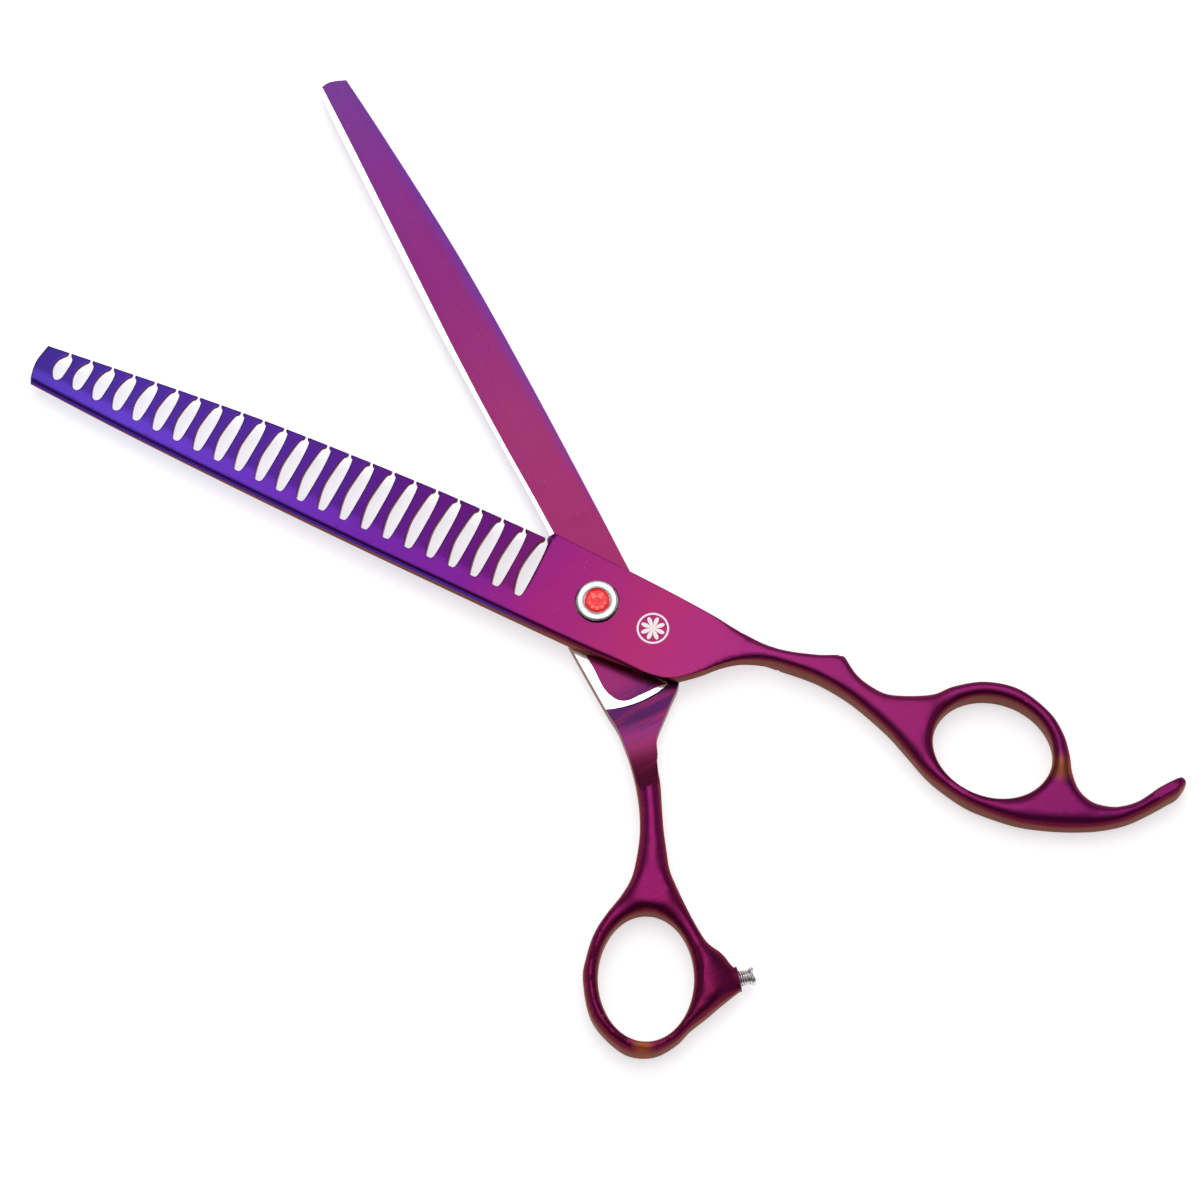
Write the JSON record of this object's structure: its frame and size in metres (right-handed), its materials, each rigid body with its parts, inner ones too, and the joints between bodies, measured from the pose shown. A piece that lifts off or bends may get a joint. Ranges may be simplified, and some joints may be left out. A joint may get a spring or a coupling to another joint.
{
  "type": "thinning shears",
  "caption": "Thinning shears lying half open: toothed blade with finger ring and hooked finger rest, straight blade with thumb ring, jewelled pivot screw.",
  "frame": {"origin": "the pivot axis where it meets the plane the shears lie on", "axes": "+Z along the pivot axis, from the table to the jewelled head; +X towards the finger rest, along the longest side; +Y towards the straight blade's tip"},
  "size_m": [0.2121, 0.1891, 0.0083],
  "materials": {
    "coated_steel": "violet to magenta coated, polished",
    "bright_steel": "polished",
    "spring_steel": "plain",
    "red_glass": "faceted, clear red",
    "nylon": "natural"
  },
  "bodies": {
    "comb_half": {"comb_blade": "coated_steel", "pivot_bolt": "bright_steel", "red_gem": "red_glass", "head_washer": "nylon", "thrust_washer": "bright_steel", "spring_washer": "spring_steel"},
    "plain_half": {"plain_blade": "coated_steel", "pivot_bush": "nylon", "blade_washer": "nylon"},
    "nut": {"tension_nut": "bright_steel"},
    "stud": {"stop_stud": "bright_steel"}
  },
  "joints": [
    {"name": "pivot", "type": "hinge", "parent": "comb_half", "child": "plain_half", "pos_m": [0, 0, 0.0037], "axis": [0, 0, 1], "range_deg": [-100, 37]},
    {"name": "tension", "type": "hinge", "parent": "comb_half", "child": "nut", "pos_m": [0, 0, 0.0005], "axis": [0, 0, 1], "range_deg": [-90, 90]},
    {"name": "stud_turn", "type": "hinge", "parent": "plain_half", "child": "stud", "pos_m": [0.02562, -0.07047, 0.00371], "axis": [0.9751, 0.2215, 0], "range_deg": [-180, 180]}
  ]
}
